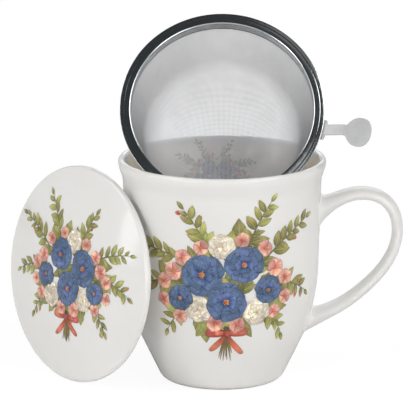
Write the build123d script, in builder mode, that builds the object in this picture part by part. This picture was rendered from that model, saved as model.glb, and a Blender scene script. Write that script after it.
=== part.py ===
from build123d import *
from math import acos, atan2, cos, degrees, hypot, pi, radians, sin, sqrt, tan
import os

# A porcelain tea mug, its lid and its mesh infuser, in millimetres.
# The origin is on the mug's axis, in the plane of its foot; +Z is up and +X points to the handle.
# The mug stands open, the infuser lies tipped in its mouth and the lid leans on its side.

# ---- driving dimensions -------------------------------------------------------------------

# mug body
mug_height = 102.3
mouth_diameter = 94.3
neck_diameter = 90.2
neck_below_rim = 10.5
waist_diameter = 87.6
waist_height = 52.0
belly_diameter = 83.2
belly_height = 35.0
taper_diameter = 73.2
taper_height = 19.4
taper_angle = 26.0
foot_diameter = 50.0
foot_rounding_height = 3.0
foot_ring_width = 3.2
foot_recess_depth = 1.6
wall = 3.1
floor_thickness = 4.2
floor_rounding = 12.0

# mug handle: its centre line, from the upper root over the crown and round to the lower root
upper_root_height = 77.6
shoulder_reach = 52.8
shoulder_height = 83.0
crown_reach = 63.3
crown_height = 85.7
outer_bend_reach = 74.7
outer_bend_height = 81.7
handle_reach = 79.6
handle_widest_height = 68.6
knee_reach = 75.6
knee_height = 54.7
heel_reach = 65.8
heel_height = 42.9
ankle_reach = 53.0
ankle_height = 33.2
lower_root_height = 26.6
strap_thickness = 5.1
strap_width = 12.4
arm_swell = 0.3
arm_swell_power = 1.5
upper_root_flare = 1.75
lower_root_flare = 1.2
root_spread = 0.35
root_flare_power = 12
root_sink = 2.0

# lid
lid_diameter = 98.5
lid_edge_thickness = 3.2
lid_edge_rounding = 1.4
lid_wall = 3.4
lid_rise = 4.6
locating_ring_height = 3.8
locating_ring_width = 3.0
locating_ring_rounding = 0.9
locating_clearance = 0.7

# infuser: its flange reaches past the crest of the mug's lip, on which it hangs in use
flange_overhang = 0.65
flange_width = 5.05
bead_diameter = 2.1
sheet = 0.5
inner_edge_rounding = 0.9
collar_depth = 6.0
groove_count = 3
groove_spacing = 1.4
groove_depth = 0.25
mesh_thickness = 0.4
bottom_radius = 37.0
basket_depth = 59.5
crimp_gap = 0.6
band_height = 4.0

# finger tab
tab_angle = 12.3
tab_sheet = 0.8
tab_joggle = 0.6
tab_seat_gap = 0.3
tab_root_width = 9.3
tab_root_length = 1.2
tab_root_rounding = 0.9
tab_neck_width = 4.95
tab_neck_length = 9.0
tab_bend_length = 8.0
tab_bend_rounding = 4.0
tab_rise_angle = 29.6
paddle_width = 13.7
paddle_length = 11.8
paddle_shoulder_rounding = 4.5
paddle_rise_angle = 6.0

# how the loose pieces stand
rest_clearance = 0.3
infuser_tilt = 33.9
lid_turn = 49.9
lid_lean = 6.35
lid_offset = 37.5

# ---- worked-out sizes ---------------------------------------------------------------------

mouth_radius = mouth_diameter / 2
neck_radius = neck_diameter / 2
waist_radius = waist_diameter / 2
belly_radius = belly_diameter / 2
taper_radius = taper_diameter / 2
foot_radius = foot_diameter / 2
lip_radius = wall / 2
lip_centre_radius = mouth_radius - lip_radius
lip_centre_height = mug_height - lip_radius
neck_height = mug_height - neck_below_rim

infuser_radius = lip_centre_radius + flange_overhang
bead_radius = bead_diameter / 2
bead_circle = infuser_radius - bead_radius
collar_inner = infuser_radius - flange_width
collar_outer = collar_inner + sheet
mesh_outer = collar_outer + mesh_thickness
band_outer = mesh_outer + sheet
ball_depth = basket_depth - bottom_radius

lid_radius = lid_diameter / 2
half_edge = lid_edge_thickness / 2
locating_radius = collar_inner - locating_clearance
locating_bottom = -half_edge - locating_ring_height

tilt = radians(infuser_tilt)
turn = radians(lid_turn)
lean = radians(lid_lean)


# ---- where the loose pieces rest ----------------------------------------------------------

def wall_radius(height):
    """Outer radius of the mug from its waist up to its lip, with the flare taken as straight."""
    if height < neck_height:
        share = (height - waist_height) / (neck_height - waist_height)
        return waist_radius + share * (neck_radius - waist_radius)
    share = (height - neck_height) / (lip_centre_height - neck_height)
    return neck_radius + share * (mouth_radius - neck_radius)


def infuser_setback(height):
    """Smallest Y of the rim's centre, at this height, that keeps its rolled edge clear of the lip and wall."""
    steps = 360
    reach = lip_radius + bead_radius + rest_clearance
    setback = -mouth_radius
    for step in range(steps + 1):
        angle = pi / 2 * step / steps
        across = bead_circle * cos(angle)
        down = bead_circle * sin(angle)
        above_lip = height - down * cos(tilt) - lip_centre_height
        if above_lip < reach:
            inward = sqrt(reach**2 - above_lip**2) if above_lip > 0 else reach
            room = lip_centre_radius - inward
            if above_lip < 0:
                inside = wall_radius(lip_centre_height + above_lip) - wall
                room = min(room, inside - bead_radius - rest_clearance)
            setback = max(setback, down * sin(tilt) - sqrt(max(room**2 - across**2, 0)))
    return setback


def infuser_rest():
    """Y and Z of the rim's centre, with the rim in the mouth and the basket against the back of the lip."""
    halvings = 50
    ball = bottom_radius + mesh_thickness + rest_clearance
    low = lip_centre_height
    high = lip_centre_height + infuser_radius * cos(tilt)
    for _ in range(halvings):
        height = (low + high) / 2
        ball_y = infuser_setback(height) + ball_depth * cos(tilt)
        ball_z = height - ball_depth * sin(tilt)
        to_lip = hypot(lip_centre_radius - ball_y, ball_z - lip_centre_height) - lip_radius
        to_neck = hypot(neck_radius - wall - ball_y, ball_z - neck_height)
        if min(to_lip, to_neck) < ball:
            low = height
        else:
            high = height
    return infuser_setback(height), height


def lid_rest():
    """Centre of the lid's edge, with the lid on the floor and its locating ring against the mug."""
    steps = 360
    height = lid_radius * cos(lean) + half_edge * sin(lean)
    gap = 0
    for step in range(steps):
        angle = 2 * pi * step / steps
        along = lid_offset - locating_radius * cos(angle)
        up = locating_radius * sin(angle)
        point_height = height + up * cos(lean) + locating_bottom * sin(lean)
        reach = wall_radius(point_height) + rest_clearance
        if reach > abs(along):
            toward_mug = up * sin(lean) - locating_bottom * cos(lean)
            gap = max(gap, sqrt(reach**2 - along**2) + toward_mug)
    x = -gap * sin(turn) - lid_offset * cos(turn)
    y = -gap * cos(turn) + lid_offset * sin(turn)
    return x, y, height


infuser_y, infuser_z = infuser_rest()
infuser_centre = Vector(0, infuser_y, infuser_z)
infuser_out = Vector(0, -cos(tilt), sin(tilt))
infuser_face = Plane(origin=infuser_centre, x_dir=(1, 0, 0), z_dir=infuser_out)
infuser_section = Plane(origin=infuser_centre, x_dir=(1, 0, 0), z_dir=infuser_face.y_dir * -1)
infuser_axis = Axis(infuser_centre, infuser_out)

lid_centre = Vector(*lid_rest())
lid_out = Vector(-sin(turn) * cos(lean), -cos(turn) * cos(lean), sin(lean))
lid_across = Vector(cos(turn), -sin(turn), 0)
lid_section = Plane(origin=lid_centre, x_dir=lid_across, z_dir=lid_across.cross(lid_out))
lid_axis = Axis(lid_centre, lid_out)


# ---- mug body -----------------------------------------------------------------------------

def mug_outline(inset):
    """Half outline of the mug from the lip to the end of its taper, moved inwards by inset; gives its ends."""
    wall_direction = (waist_radius - neck_radius, waist_height - neck_height)
    taper_direction = (-sin(radians(taper_angle)), -cos(radians(taper_angle)))
    flare = Spline(
        (mouth_radius - inset, lip_centre_height),
        ((mouth_radius + neck_radius) / 2 - inset, (lip_centre_height + neck_height) / 2),
        (neck_radius - inset, neck_height),
        tangents=((0, -1), wall_direction),
    )
    straight = Line(flare @ 1, (waist_radius - inset, waist_height))
    belly = Spline(
        straight @ 1,
        (belly_radius - inset, belly_height),
        (taper_radius - inset, taper_height),
        tangents=(wall_direction, taper_direction),
    )
    return flare @ 0, belly @ 1


taper_slope = tan(radians(taper_angle))
foot_corner_radius = taper_radius - (taper_height - foot_rounding_height) * taper_slope
floor_height = foot_recess_depth + floor_thickness
floor_radius = taper_radius - wall - (taper_height - floor_height) * taper_slope
foot_inner_radius = foot_radius - foot_ring_width
recess_radius = foot_inner_radius - foot_recess_depth

with BuildPart() as mug_body:
    with BuildSketch(Plane.XZ):
        with BuildLine():
            lip_outside, belly_outside = mug_outline(0)
            taper = Line(belly_outside, (foot_corner_radius, foot_rounding_height))
            corner = TangentArc(taper @ 1, (foot_radius, 0), tangent=taper % 1)
            Polyline(corner @ 1, (foot_inner_radius, 0), (recess_radius, foot_recess_depth),
                     (0, foot_recess_depth), (0, floor_height), (floor_radius, floor_height))
            lip_inside, belly_inside = mug_outline(wall)
            Line((floor_radius, floor_height), belly_inside)
            ThreePointArc(lip_inside, (lip_centre_radius, mug_height), lip_outside)
        make_face()
    revolve(axis=Axis.Z)
    circles = mug_body.edges().filter_by(GeomType.CIRCLE)
    fillet(circles.filter_by_position(Axis.Z, floor_height, floor_height), radius=floor_rounding)

mug_body.part.label = "mug_body"


# ---- mug handle ---------------------------------------------------------------------------

# the handle widens towards its roots and is trimmed to the outside of the body, which it meets face to face
with BuildPart() as body_envelope:
    with BuildSketch(Plane.XZ):
        with BuildLine():
            lip_outside, belly_outside = mug_outline(0)
            taper = Line(belly_outside, (foot_corner_radius, foot_rounding_height))
            Polyline(taper @ 1, (0, foot_rounding_height), (0, lip_centre_height), lip_outside)
        make_face()
    revolve(axis=Axis.Z)

upper_root_reach = wall_radius(upper_root_height) - root_sink
upper_root_facing = Vector(1, 0, 0)
lower_root_reach = taper_radius + (lower_root_height - taper_height) * taper_slope - root_sink
lower_root_facing = Vector(-cos(radians(taper_angle)), 0, sin(radians(taper_angle)))
station_count = 20

with BuildLine(Plane.XZ) as handle_line:
    Spline(
        (upper_root_reach, upper_root_height),
        (shoulder_reach, shoulder_height),
        (crown_reach, crown_height),
        (outer_bend_reach, outer_bend_height),
        (handle_reach, handle_widest_height),
        (knee_reach, knee_height),
        (heel_reach, heel_height),
        (ankle_reach, ankle_height),
        (lower_root_reach, lower_root_height),
    )

with BuildPart() as mug_handle:
    centre_line = handle_line.edge()
    for station in range(station_count + 1):
        share = (1 - cos(pi * station / station_count)) / 2
        from_middle = abs(2 * share - 1)
        near_root = from_middle**root_flare_power
        if 2 * station < station_count:
            root_flare, root_facing = upper_root_flare, upper_root_facing
        else:
            root_flare, root_facing = lower_root_flare, lower_root_facing
        swell = 1 + arm_swell * from_middle**arm_swell_power + root_flare * near_root
        spread = 1 + root_spread * near_root
        facing = (centre_line % share) * (1 - near_root) + root_facing * near_root
        across_strap = Plane(origin=centre_line @ share, x_dir=(0, 1, 0), z_dir=facing)
        with BuildSketch(across_strap):
            Ellipse(strap_width * spread / 2, strap_thickness * swell / 2)
    loft()
    add(body_envelope.part, mode=Mode.SUBTRACT)

mug_handle.part.label = "mug_handle"


# ---- lid ----------------------------------------------------------------------------------

lid_top = half_edge + lid_rise
dome_radius = (lid_radius**2 + lid_rise**2) / (2 * lid_rise)
locating_inner = locating_radius - locating_ring_width


def lid_height(radius):
    """Height of the lid's domed top above its edge circle, at this distance from its middle."""
    return lid_top - dome_radius + sqrt(dome_radius**2 - radius**2)


with BuildPart() as lid:
    with BuildSketch(lid_section) as lid_profile:
        with BuildLine():
            ThreePointArc((0, lid_top), (lid_radius / 2, lid_height(lid_radius / 2)), (lid_radius, half_edge))
            Polyline((lid_radius, half_edge), (lid_radius, -half_edge), (locating_radius, -half_edge),
                     (locating_radius, locating_bottom), (locating_inner, locating_bottom),
                     (locating_inner, lid_height(locating_inner) - lid_wall))
            ThreePointArc((locating_inner, lid_height(locating_inner) - lid_wall),
                          (locating_inner / 2, lid_height(locating_inner / 2) - lid_wall),
                          (0, lid_top - lid_wall))
            Line((0, lid_top - lid_wall), (0, lid_top))
        make_face()
        fillet(lid_profile.vertices().group_by(Axis.X)[-1], radius=lid_edge_rounding)
        fillet(lid_profile.vertices().group_by(Axis.Y)[0], radius=locating_ring_rounding)
    revolve(axis=lid_axis)

lid.part.label = "lid"


# ---- infuser rim --------------------------------------------------------------------------

half_sheet = sheet / 2

with BuildPart() as infuser_rim:
    with BuildSketch(infuser_section) as rim_profile:
        with BuildLine():
            Polyline((bead_circle, half_sheet), (collar_inner, half_sheet), (collar_inner, -collar_depth),
                     (collar_outer, -collar_depth), (collar_outer, -half_sheet),
                     (bead_circle, -half_sheet), close=True)
        make_face()
        fillet(rim_profile.vertices().group_by(Axis.X)[0].group_by(Axis.Y)[-1], radius=inner_edge_rounding)
        with Locations((bead_circle, 0)):
            Circle(bead_radius)
        for groove in range(groove_count):
            with Locations((collar_inner, -inner_edge_rounding - (groove + 1) * groove_spacing)):
                Rectangle(2 * groove_depth, 2 * groove_depth, mode=Mode.SUBTRACT)
    revolve(axis=infuser_axis)

infuser_rim.part.label = "infuser_rim"


# ---- infuser basket and its crimp band ----------------------------------------------------

crimp_top = -half_sheet - crimp_gap


def basket_side(outset):
    """Half outline of the basket below the collar: a straight taper that runs into the round bottom."""
    top_radius = collar_outer + outset
    ball_radius = bottom_radius + outset
    drop = ball_depth - collar_depth
    touch = atan2(drop, top_radius) - acos(ball_radius / hypot(top_radius, drop))
    ball = CenterArc((0, -ball_depth), ball_radius, -90, 90 + degrees(touch))
    Polyline((top_radius, crimp_top), (top_radius, -collar_depth), ball @ 1)
    return ball


with BuildPart() as infuser_mesh:
    with BuildSketch(infuser_section):
        with BuildLine():
            inner_ball = basket_side(0)
            outer_ball = basket_side(mesh_thickness)
            Line(inner_ball @ 0, outer_ball @ 0)
            Line((collar_outer, crimp_top), (mesh_outer, crimp_top))
        make_face()
    revolve(axis=infuser_axis)

infuser_mesh.part.label = "infuser_mesh"

with BuildPart() as crimp_band:
    with BuildSketch(infuser_section):
        with Locations((mesh_outer, crimp_top)):
            Rectangle(sheet, band_height, align=(Align.MIN, Align.MAX))
    revolve(axis=infuser_axis)

crimp_band.part.label = "crimp_band"


# ---- finger tab ---------------------------------------------------------------------------

# the tab's root lies under the flange, steps down below the rolled edge and then rises outwards
tab_out = infuser_face.x_dir * cos(radians(tab_angle)) - infuser_face.y_dir * sin(radians(tab_angle))
tab_section = Plane(origin=infuser_centre, x_dir=tab_out, z_dir=tab_out.cross(infuser_out))
tab_plan = Plane(origin=infuser_centre, x_dir=tab_out, z_dir=infuser_out)

tab_start = band_outer + tab_seat_gap
joggle_end = bead_circle - bead_radius
neck_start = infuser_radius + tab_root_length
tab_bend = neck_start + tab_bend_length
paddle_start = neck_start + tab_neck_length
paddle_middle = paddle_start + paddle_length / 2
tab_tip = paddle_start + paddle_length
bend_height = (tab_bend - infuser_radius) * tan(radians(tab_rise_angle)) - bead_radius
tip_height = bend_height + (tab_tip - tab_bend) * tan(radians(paddle_rise_angle))
tab_line = (
    (tab_start, -half_sheet),
    (joggle_end - tab_joggle, -half_sheet),
    (joggle_end, -bead_radius),
    (infuser_radius, -bead_radius),
    (tab_bend, bend_height),
    (tab_tip, tip_height),
)
tab_underside = [(along, height - tab_sheet) for along, height in reversed(tab_line)]

with BuildPart() as infuser_tab:
    with BuildSketch(tab_section) as tab_profile:
        with BuildLine():
            Polyline(*tab_line, *tab_underside, close=True)
        make_face()
        bends = tab_profile.vertices().filter_by_position(Axis.X, tab_bend, tab_bend)
        fillet(bends, radius=tab_bend_rounding)
    extrude(amount=paddle_width, both=True)
    with BuildSketch(tab_plan) as plan:
        with Locations((tab_start, 0)):
            Rectangle(neck_start - tab_start, tab_root_width, align=(Align.MIN, Align.CENTER))
        with Locations((neck_start, 0)):
            Rectangle(paddle_middle - neck_start, tab_neck_width, align=(Align.MIN, Align.CENTER))
        fillet(plan.vertices().filter_by_position(Axis.X, neck_start, neck_start), radius=tab_root_rounding)
        with Locations((paddle_middle, 0)):
            Ellipse(paddle_length / 2, paddle_width / 2)
        shoulders = plan.vertices().filter_by_position(Axis.X, paddle_start, paddle_middle)
        fillet(shoulders, radius=paddle_shoulder_rounding)
    extrude(amount=paddle_width, both=True, mode=Mode.INTERSECT)

infuser_tab.part.label = "infuser_tab"


# ---- files --------------------------------------------------------------------------------

os.makedirs("parts", exist_ok=True)
for piece in (mug_body, mug_handle, lid, infuser_rim, infuser_mesh, crimp_band, infuser_tab):
    export_step(piece.part, f"parts/{piece.part.label}.step")
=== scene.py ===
import bisect
import math
import random

import bmesh
import bpy
from mathutils import Matrix, Vector


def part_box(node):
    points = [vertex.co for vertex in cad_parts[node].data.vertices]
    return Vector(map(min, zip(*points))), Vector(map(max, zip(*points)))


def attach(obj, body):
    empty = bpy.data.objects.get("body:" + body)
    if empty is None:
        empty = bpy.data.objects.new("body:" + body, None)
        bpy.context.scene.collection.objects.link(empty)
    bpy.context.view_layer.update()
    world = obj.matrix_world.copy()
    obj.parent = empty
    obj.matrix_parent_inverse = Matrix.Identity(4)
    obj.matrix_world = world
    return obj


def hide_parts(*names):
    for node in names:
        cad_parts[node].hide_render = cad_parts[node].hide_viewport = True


# Porcelain tea mug with a loose lid and a woven strainer. Metres; +Z up, +X towards the handle.

mm = 0.001

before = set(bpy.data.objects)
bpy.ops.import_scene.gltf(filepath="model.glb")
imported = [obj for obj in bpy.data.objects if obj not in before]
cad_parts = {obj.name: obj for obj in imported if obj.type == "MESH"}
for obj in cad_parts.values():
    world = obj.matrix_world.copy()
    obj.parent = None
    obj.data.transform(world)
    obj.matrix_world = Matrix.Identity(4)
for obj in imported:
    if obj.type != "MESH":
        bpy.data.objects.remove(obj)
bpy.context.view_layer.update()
print("frame loaded")


# small helpers for node trees and meshes

def plug(tree, socket, value):
    # a socket takes a link or a constant
    if isinstance(value, bpy.types.NodeSocket):
        tree.links.new(value, socket)
    else:
        socket.default_value = value


def addNode(tree, kind, inputs=None, **settings):
    made = tree.nodes.new(kind)
    for name, value in settings.items():
        setattr(made, name, value)
    for name, value in (inputs or {}).items():
        plug(tree, made.inputs[name], value)
    return made


def calc(tree, operation, *values):
    return addNode(tree, "ShaderNodeMath", dict(enumerate(values)), operation=operation).outputs[0]


def vectorCalc(tree, operation, *values):
    return addNode(tree, "ShaderNodeVectorMath", dict(enumerate(values)), operation=operation).outputs


def remap(tree, value, fromRange, toRange):
    return addNode(tree, "ShaderNodeMapRange", {
        "Value": value, "From Min": fromRange[0], "From Max": fromRange[1],
        "To Min": toRange[0], "To Max": toRange[1]}).outputs["Result"]


def mixValue(tree, fac, first, second):
    return addNode(tree, "ShaderNodeMix", {"Factor": fac, 2: first, 3: second}).outputs[0]


def mixColour(tree, fac, *colours):
    made = addNode(tree, "ShaderNodeMix", {"Factor": fac}, data_type="RGBA")
    for socket, colour in zip((made.inputs[6], made.inputs[7]), colours):
        plug(tree, socket, (*colour, 1) if isinstance(colour, tuple) else colour)
    return made.outputs[2]


def ramp(tree, fac, *stops):
    made = addNode(tree, "ShaderNodeValToRGB", {"Fac": fac})
    elements = made.color_ramp.elements
    while len(elements) < len(stops):
        elements.new(1.0)
    for element, (position, colour) in zip(elements, stops):
        element.position = position
        element.color = (*colour, 1)
    return made.outputs["Color"]


def noise(tree, place, scale, detail, roughness=0.5):
    return addNode(tree, "ShaderNodeTexNoise", {
        "Vector": place, "Scale": scale, "Detail": detail, "Roughness": roughness}).outputs["Fac"]


def bump(tree, height, strength, distance):
    return addNode(tree, "ShaderNodeBump", {
        "Strength": strength, "Distance": distance, "Height": height}).outputs["Normal"]


def objectPlace(tree):
    return addNode(tree, "ShaderNodeTexCoord").outputs["Object"]


def splitUp(tree, place):
    return addNode(tree, "ShaderNodeSeparateXYZ", {"Vector": place}).outputs


def newMaterial(name, **fixed):
    material = bpy.data.materials.new(name)
    material.use_nodes = True
    shader = material.node_tree.nodes["Principled BSDF"]
    for socket, value in fixed.items():
        shader.inputs[socket].default_value = value
    return material, material.node_tree, shader


def wire(tree, shader, colour, roughness, normal):
    for socket, value in (("Base Color", colour), ("Roughness", roughness), ("Normal", normal)):
        tree.links.new(value, shader.inputs[socket])


def recoat(node, material):
    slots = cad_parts[node].data.materials
    slots.clear()
    slots.append(material)


def putIn(name, data):
    made = bpy.data.objects.new(name, data)
    bpy.context.scene.collection.objects.link(made)
    return made


def meshObject(name, bm, material):
    mesh = bpy.data.meshes.new(name)
    bm.to_mesh(mesh)
    bm.free()
    mesh.materials.append(material)
    return putIn(name, mesh)


def finishMesh(name, bm, material, body):
    for face in bm.faces:
        face.smooth = True
    piece = meshObject(name, bm, material)
    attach(piece, body)
    return piece


def solidify(piece, thickness, offset):
    sheet = piece.modifiers.new("sheet", "SOLIDIFY")
    sheet.thickness = thickness
    sheet.offset = offset


def shares(steps, first=0):
    return [step / steps for step in range(first, steps + 1)]


def between(low, value, high):
    return max(low, min(high, value))


def direction(azimuth, elevation):
    # azimuth from straight in front towards +X
    flat = math.cos(elevation)
    return Vector((math.sin(azimuth) * flat, -math.cos(azimuth) * flat, math.sin(elevation)))


# where the loose pieces lie, read from the frame

def middleOf(node):
    low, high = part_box(node)
    return (low + high) / 2


strainer = {
    "tilt": math.radians(33.9),
    "bandBelowRing": 2.85 * mm,  # from the ring's plane down to the middle of the crimp band
}
strainerOut = direction(0, strainer["tilt"])
strainerUp = strainerOut.cross(Vector((1, 0, 0)))
ringCentre = middleOf("crimp_band") + strainerOut * strainer["bandBelowRing"]
strainerTurn = Matrix(((1, 0, 0), strainerUp, strainerOut)).transposed().to_4x4()
strainerFrame = Matrix.Translation(ringCentre) @ strainerTurn

lidPlace = {"turn": math.radians(49.9), "lean": math.radians(6.35)}
lidCentre = middleOf("lid")
lidOut = direction(-lidPlace["turn"], lidPlace["lean"])
lidAcross = Vector((math.cos(lidPlace["turn"]), -math.sin(lidPlace["turn"]), 0))
lidUp = lidOut.cross(lidAcross)
print("ring centre", [round(v, 5) for v in ringCentre], "lid centre", [round(v, 5) for v in lidCentre])


# glaze: patches of more and less gloss, and faint ripples

glaze = {
    "refraction": 1.5,
    "patchScale": 55.0,
    "rippleScale": 45.0,
    "rippleStrength": 0.1,
    "rippleDepth": 0.08 * mm,
    "bodyGloss": (0.05, 0.11),  # roughness, from and to
    "handleGloss": (0.28, 0.34),  # duller, because a sharp highlight breaks up into grain on the narrow strap
    "inkGloss": (0.08, 0.16),
}


def glazeGloss(tree, place, gloss):
    return remap(tree, noise(tree, place, glaze["patchScale"], 4.0), (0.0, 1.0), gloss)


def glazeSkin(tree, place):
    ripple = noise(tree, place, glaze["rippleScale"], 1.0)
    return bump(tree, ripple, glaze["rippleStrength"], glaze["rippleDepth"])


# glazed porcelain; the mug's own gets a painted warm bounce light on the inside and is bare under the foot

porcelain = {
    "cloudColours": ((0.3, (0.83, 0.82, 0.80)), (0.72, (0.80, 0.785, 0.76))),  # where on the ramp, and colour
    "cloudScale": 26.0,
    "speck": (0.30, 0.25, 0.20),
    "speckScale": 70.0,
    "speckSize": 0.014,
    "speckRarity": 0.965,
    "speckDepth": 0.6,
    # painted warm light on the inside walls, standing in for light bounced round inside the mug; it fades out
    # upwards between the two insideHeight values
    "inside": (0.87, 0.80, 0.67),
    "insideFacing": (0.2, -0.6),  # how far a face looks outwards where the painted warm bounce light starts and where it is full
    "insideHeight": (101.2 * mm, 97.5 * mm),
    "bare": (0.62, 0.57, 0.50),
    "bareRoughness": 0.75,
    "footLine": 0.5 * mm,
    "footRagged": 0.3 * mm,
    "gritScale": 900.0,
}


def porcelainMaterial(name, gloss, hollow=False):
    material, tree, shader = newMaterial(name, IOR=glaze["refraction"])
    place = objectPlace(tree)
    cloud = noise(tree, place, porcelain["cloudScale"], 3.0)
    colour = ramp(tree, cloud, *porcelain["cloudColours"])
    cells = addNode(tree, "ShaderNodeTexVoronoi", {"Vector": place, "Scale": porcelain["speckScale"]})
    near = calc(tree, "LESS_THAN", cells.outputs["Distance"], porcelain["speckSize"])
    lot = addNode(tree, "ShaderNodeSeparateColor", {"Color": cells.outputs["Color"]}).outputs["Red"]
    rare = calc(tree, "GREATER_THAN", lot, porcelain["speckRarity"])
    speck = calc(tree, "MULTIPLY", calc(tree, "MULTIPLY", near, rare), porcelain["speckDepth"])
    colour = mixColour(tree, speck, colour, porcelain["speck"])
    roughness = glazeGloss(tree, place, gloss)
    if hollow:
        height = splitUp(tree, place)["Z"]
        radial = vectorCalc(tree, "NORMALIZE", vectorCalc(tree, "MULTIPLY", place, (1, 1, 0))[0])[0]
        normal = addNode(tree, "ShaderNodeNewGeometry").outputs["True Normal"]
        facing = vectorCalc(tree, "DOT_PRODUCT", normal, radial)["Value"]
        # painted warm bounce light on faces that look inwards, fading out towards the lip
        paintedBounceLight = calc(tree, "MULTIPLY", remap(tree, facing, porcelain["insideFacing"], (0.0, 1.0)),
                      remap(tree, height, porcelain["insideHeight"], (0.0, 1.0)))
        colour = mixColour(tree, paintedBounceLight, colour, porcelain["inside"])
        grit = noise(tree, place, porcelain["gritScale"], 4.0)
        edge = calc(tree, "ADD", porcelain["footLine"], calc(tree, "MULTIPLY", grit, porcelain["footRagged"]))
        bare = calc(tree, "LESS_THAN", height, edge)
        colour = mixColour(tree, bare, colour, porcelain["bare"])
        matt = calc(tree, "MULTIPLY", bare, porcelain["bareRoughness"])
        roughness = calc(tree, "MAXIMUM", roughness, matt)
    wire(tree, shader, colour, roughness, glazeSkin(tree, place))
    return material


bodyGlaze = porcelainMaterial("bodyGlaze", glaze["bodyGloss"], hollow=True)
lidGlaze = porcelainMaterial("lidGlaze", glaze["bodyGloss"])
handleGlaze = porcelainMaterial("handleGlaze", glaze["handleGloss"])
recoat("mug_body", bodyGlaze)
recoat("mug_handle", handleGlaze)
recoat("lid", lidGlaze)
print("porcelain glazed")


def turnedProfile(node, origin, axis, picked):
    # (height, radius) of a turned node's points, picked by their normals' parts along and out of the axis
    profile = {}
    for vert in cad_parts[node].data.vertices:
        offset = vert.co - origin
        height = offset.dot(axis)
        out = offset - axis * height
        if picked(vert.normal.dot(axis), vert.normal.dot(out.normalized())):
            profile[round(height / mm, 1)] = (height, out.length)
    return list(profile.values())


def readOff(pairs, key):
    # straight-line reading of a table of pairs in rising order
    at = between(1, bisect.bisect(pairs, (key, 0)), len(pairs) - 1)
    (low, first), (high, second) = pairs[at - 1], pairs[at]
    return first + (second - first) * (key - low) / (high - low)


upwards = Vector((0, 0, 1))
mugOutside = sorted(turnedProfile("mug_body", Vector(), upwards, lambda along, out: out > 0.5))
mugInside = sorted(turnedProfile("mug_body", Vector(), upwards, lambda along, out: out < -0.5))


# handle: an oval strap drawn along a smooth line and rounded into the body at both roots

strap = {
    "line": (  # reach and height of the middle of the strap, mm, from the upper root to the lower
        (42.64, 77.6), (52.8, 83.0), (63.3, 85.7), (74.7, 81.7), (79.6, 68.6),
        (75.6, 54.7), (65.8, 42.9), (53.0, 33.2), (38.11, 26.6)),
    "width": 12.4 * mm,
    "thickness": 5.06 * mm,
    "armSwell": 0.3,  # the strap thickens by this share from its middle to its ends
    "armPower": 1.5,
    "upperFlare": 1.75,  # further thickening at the roots
    "lowerFlare": 1.2,
    "rootPower": 12,
    "rootSpread": 0.35,
    "lowerFacing": math.radians(26),
    "rounding": 2.0 * mm,
    "sink": 0.05 * mm,
    "bury": 1.0 * mm,  # the capped ends lie this deep in the wall
    "around": 56,
    "lengthwise": 110,
    "roundingSteps": 7,
    "halvings": 40,
}


def smoothLine(points):
    # natural cubic spline through the points; gives a function of the share of the length
    knots = [0.0]
    for first, second in zip(points, points[1:]):
        knots.append(knots[-1] + (second - first).length)
    gaps = [b - a for a, b in zip(knots, knots[1:])]
    count = len(points)
    diagonal, bends = [1.0] * count, [Vector((0, 0, 0))] * count
    pulls = [Vector((0, 0, 0))] * count
    for i in range(1, count - 1):
        pull = 3 * ((points[i + 1] - points[i]) / gaps[i] - (points[i] - points[i - 1]) / gaps[i - 1])
        share = gaps[i - 1] / diagonal[i - 1] if i > 1 else 0
        diagonal[i] = 2 * (gaps[i - 1] + gaps[i]) - share * gaps[i - 1]
        pulls[i] = pull - share * pulls[i - 1]
    for i in range(count - 2, 0, -1):
        bends[i] = (pulls[i] - gaps[i] * bends[i + 1]) / diagonal[i]

    def at(share):
        length = share * knots[-1]
        i = between(0, bisect.bisect(knots, length) - 1, count - 2)
        t = length - knots[i]
        slope = (points[i + 1] - points[i]) / gaps[i] - gaps[i] * (2 * bends[i] + bends[i + 1]) / 3
        spot = points[i] + slope * t + bends[i] * t ** 2 + (bends[i + 1] - bends[i]) / (3 * gaps[i]) * t ** 3
        ahead = slope + bends[i] * 2 * t + (bends[i + 1] - bends[i]) / gaps[i] * t ** 2
        return spot, ahead.normalized()

    return at, knots[-1]


strapLine, strapLength = smoothLine([Vector((reach, 0, height)) * mm for reach, height in strap["line"]])


def strapPoint(share, turn):
    # a point of the strap's skin: share of its length, and turn round its oval
    middle, ahead = strapLine(share)
    fromMiddle = abs(2 * share - 1)
    nearRoot = fromMiddle ** strap["rootPower"]
    if share < 0.5:
        flare, facing = strap["upperFlare"], Vector((1, 0, 0))
    else:
        lean = strap["lowerFacing"]
        flare, facing = strap["lowerFlare"], Vector((-math.cos(lean), 0, math.sin(lean)))
    ahead = (ahead * (1 - nearRoot) + facing * nearRoot).normalized()
    over = ahead.cross(Vector((0, 1, 0)))
    swell = 1 + strap["armSwell"] * fromMiddle ** strap["armPower"] + flare * nearRoot
    high = strap["thickness"] / 2 * swell
    wide = strap["width"] / 2 * (1 + strap["rootSpread"] * nearRoot)
    return middle + Vector((0, wide * math.cos(turn), 0)) + over * high * math.sin(turn)


def outsideBody(point):
    return math.hypot(point.x, point.y) - readOff(mugOutside, point.z)


def outwards(point):
    return Vector((point.x, point.y, 0)).normalized()


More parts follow.
